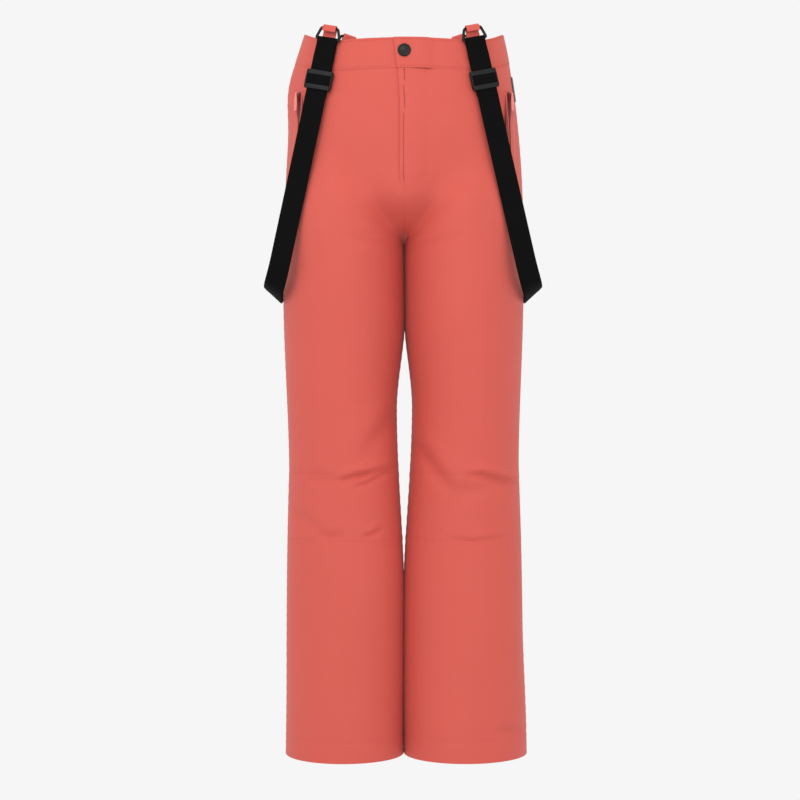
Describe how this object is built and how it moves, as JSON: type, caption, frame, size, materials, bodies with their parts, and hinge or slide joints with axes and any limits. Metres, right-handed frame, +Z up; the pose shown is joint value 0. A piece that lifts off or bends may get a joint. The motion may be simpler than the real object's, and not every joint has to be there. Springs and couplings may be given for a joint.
{
  "type": "ski pants",
  "caption": "Insulated junior ski trousers with lapped zip fly, snap waistband, zipped pockets, snow gaiters and webbing braces that hang at the sides.",
  "frame": {"origin": "middle of the waist opening, level with the waistband's top edge at the side seams", "axes": "+Z up along the legs, -Y the front that the wearer faces, -X the wearer's right leg"},
  "size_m": [0.331, 0.1988, 0.8553],
  "materials": {
    "shell_cloth": "matt coral-red woven shell cloth over light padding",
    "lining_cloth": "smooth thin lining, a darker red",
    "webbing": "black woven webbing and elastic",
    "black_plastic": "black moulded plastic",
    "gaiter_cloth": "thin black coated cloth",
    "snap_metal": "dark enamelled snap cap",
    "zip_metal": "dark enamelled zip slider and hook",
    "zip_tape": "dark red zip tape with moulded coil",
    "puller": "bright pink cord puller",
    "label": "blank grey woven label"
  },
  "bodies": {
    "trousers": {"front_panel_right": "shell_cloth", "back_panel_right": "shell_cloth", "knee_panel_front_right": "shell_cloth", "knee_panel_back_right": "shell_cloth", "lining_right": "lining_cloth", "pocket_bag_right": "lining_cloth", "pocket_zip_right": "zip_tape", "brace_tab_front_right": "shell_cloth", "brace_tab_back_right": "shell_cloth", "front_panel_left": "shell_cloth", "back_panel_left": "shell_cloth", "knee_panel_front_left": "shell_cloth", "knee_panel_back_left": "shell_cloth", "lining_left": "lining_cloth", "pocket_bag_left": "lining_cloth", "pocket_zip_left": "zip_tape", "brace_tab_front_left": "shell_cloth", "brace_tab_back_left": "shell_cloth", "waistband_front_right": "shell_cloth", "waistband_front_left": "shell_cloth", "waistband_back": "shell_cloth", "waistband_elastic": "webbing", "fly_zip_tape_right": "zip_tape", "fly_zip_tape_left": "zip_tape", "fly_underlap": "shell_cloth", "snap_stud": "snap_metal", "side_label": "label"},
    "fly_flap": {"fly_flap": "shell_cloth", "waistband_tab": "shell_cloth", "snap_cap": "snap_metal"},
    "fly_slider": {"fly_slider": "zip_metal", "fly_puller": "puller"},
    "pocket_slider_right": {"pocket_slider_right": "zip_metal"},
    "pocket_puller_right": {"pocket_puller_right": "puller"},
    "brace_right": {"brace_ring_front_right": "black_plastic", "brace_webbing_right": "webbing", "brace_ring_back_right": "black_plastic"},
    "adjuster_right": {"adjuster_right": "black_plastic"},
    "shin_right": {"shin_panel_front_right": "shell_cloth", "shin_panel_back_right": "shell_cloth", "shin_lining_right": "lining_cloth", "hem_facing_right": "shell_cloth", "gaiter_right": "gaiter_cloth", "gaiter_elastic_right": "webbing", "gaiter_hook_right": "zip_metal"},
    "pocket_slider_left": {"pocket_slider_left": "zip_metal"},
    "pocket_puller_left": {"pocket_puller_left": "puller"},
    "brace_left": {"brace_ring_front_left": "black_plastic", "brace_webbing_left": "webbing", "brace_ring_back_left": "black_plastic"},
    "adjuster_left": {"adjuster_left": "black_plastic"},
    "shin_left": {"shin_panel_front_left": "shell_cloth", "shin_panel_back_left": "shell_cloth", "shin_lining_left": "lining_cloth", "hem_facing_left": "shell_cloth", "gaiter_left": "gaiter_cloth", "gaiter_elastic_left": "webbing", "gaiter_hook_left": "zip_metal"}
  },
  "joints": [
    {"name": "fly_flap_open", "type": "hinge", "parent": "trousers", "child": "fly_flap", "pos_m": [0.0335, -0.09, -0.125], "axis": [-0.01, 0.025, 0.9996], "range_deg": [0, 75]},
    {"name": "fly_zip_slide", "type": "slide", "parent": "trousers", "child": "fly_slider", "axis": [0, -0.0501, -0.9987], "range_m": [0, 0.072]},
    {"name": "pocket_zip_slide_right", "type": "slide", "parent": "trousers", "child": "pocket_slider_right", "axis": [-0.0166, -0.1774, -0.984], "range_m": [0, 0.112]},
    {"name": "pocket_puller_swing_right", "type": "hinge", "parent": "pocket_slider_right", "child": "pocket_puller_right", "pos_m": [-0.12466, -0.03564, -0.07338], "axis": [-0.5186, 0.843, -0.1432], "range_deg": [0, 110]},
    {"name": "brace_lift_right", "type": "hinge", "parent": "trousers", "child": "brace_right", "pos_m": [-0.084, -0.06664, -0.00467], "axis": [0.126, 0.9853, 0.1151], "range_deg": [0, 165], "deforming": ["brace_tab_front_right", "brace_tab_back_right"]},
    {"name": "adjuster_slide_right", "type": "slide", "parent": "brace_right", "child": "adjuster_right", "axis": [-0.2082, -0.0045, -0.9781], "range_m": [-0.022, 0.07]},
    {"name": "knee_bend_right", "type": "hinge", "parent": "trousers", "child": "shin_right", "pos_m": [-0.0705, 0, -0.548], "axis": [1, 0, 0], "range_deg": [0, 85], "deforming": ["knee_panel_front_right", "knee_panel_back_right"]},
    {"name": "pocket_zip_slide_left", "type": "slide", "parent": "trousers", "child": "pocket_slider_left", "axis": [0.0166, -0.1774, -0.984], "range_m": [0, 0.112]},
    {"name": "pocket_puller_swing_left", "type": "hinge", "parent": "pocket_slider_left", "child": "pocket_puller_left", "pos_m": [0.12466, -0.03564, -0.07338], "axis": [-0.5186, -0.843, 0.1432], "range_deg": [0, 110]},
    {"name": "brace_lift_left", "type": "hinge", "parent": "trousers", "child": "brace_left", "pos_m": [0.077, -0.0702, -0.00467], "axis": [0.0755, -0.9907, -0.1129], "range_deg": [0, 165], "deforming": ["brace_tab_front_left", "brace_tab_back_left"]},
    {"name": "adjuster_slide_left", "type": "slide", "parent": "brace_left", "child": "adjuster_left", "axis": [0.2334, 0.0063, -0.9724], "range_m": [-0.022, 0.07]},
    {"name": "knee_bend_left", "type": "hinge", "parent": "trousers", "child": "shin_left", "pos_m": [0.0705, 0, -0.548], "axis": [1, 0, 0], "range_deg": [0, 85], "deforming": ["knee_panel_front_left", "knee_panel_back_left"]}
  ]
}
